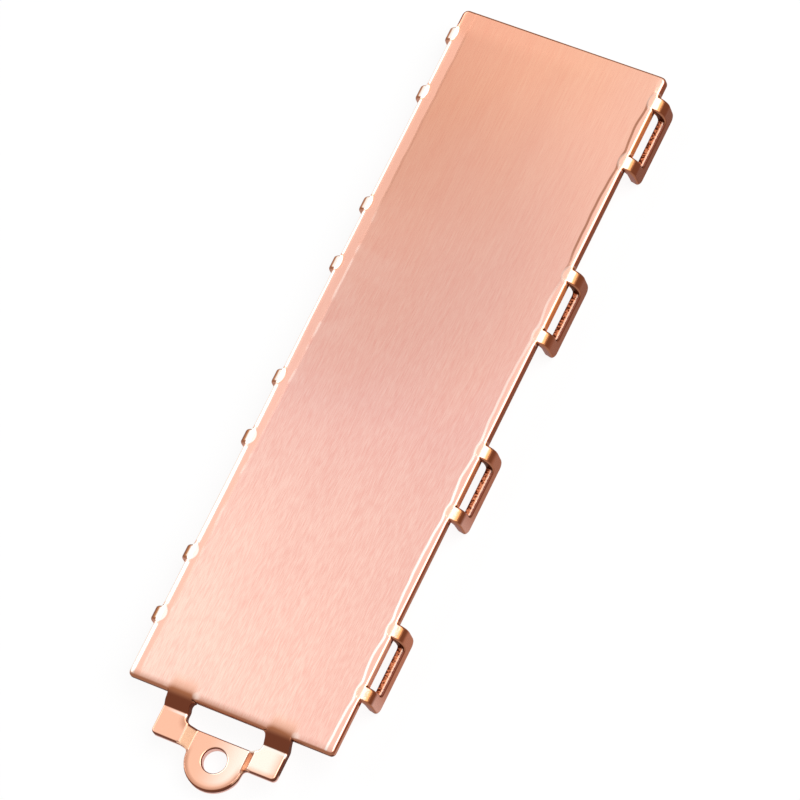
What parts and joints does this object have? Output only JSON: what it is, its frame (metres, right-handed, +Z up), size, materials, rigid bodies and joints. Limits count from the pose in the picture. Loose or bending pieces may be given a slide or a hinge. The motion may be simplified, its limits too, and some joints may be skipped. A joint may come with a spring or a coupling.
{
  "type": "drive card heat spreader",
  "caption": "Copper cover that lies on a plug-in drive card as its heat sink, held by folded clips along both long edges and a lowered screw ear at one end",
  "frame": {"origin": "under the middle of the part, on the level that the clips' lower edges stand on", "axes": "+Y runs along the plate away from the screw ear, +X across it, +Z up out of its brushed face"},
  "size_m": [0.0236, 0.0798, 0.0037],
  "materials": {
    "cover_sheet": "satin brushed copper"
  },
  "bodies": {
    "root": {"cover_sheet": "cover_sheet"}
  },
  "joints": []
}
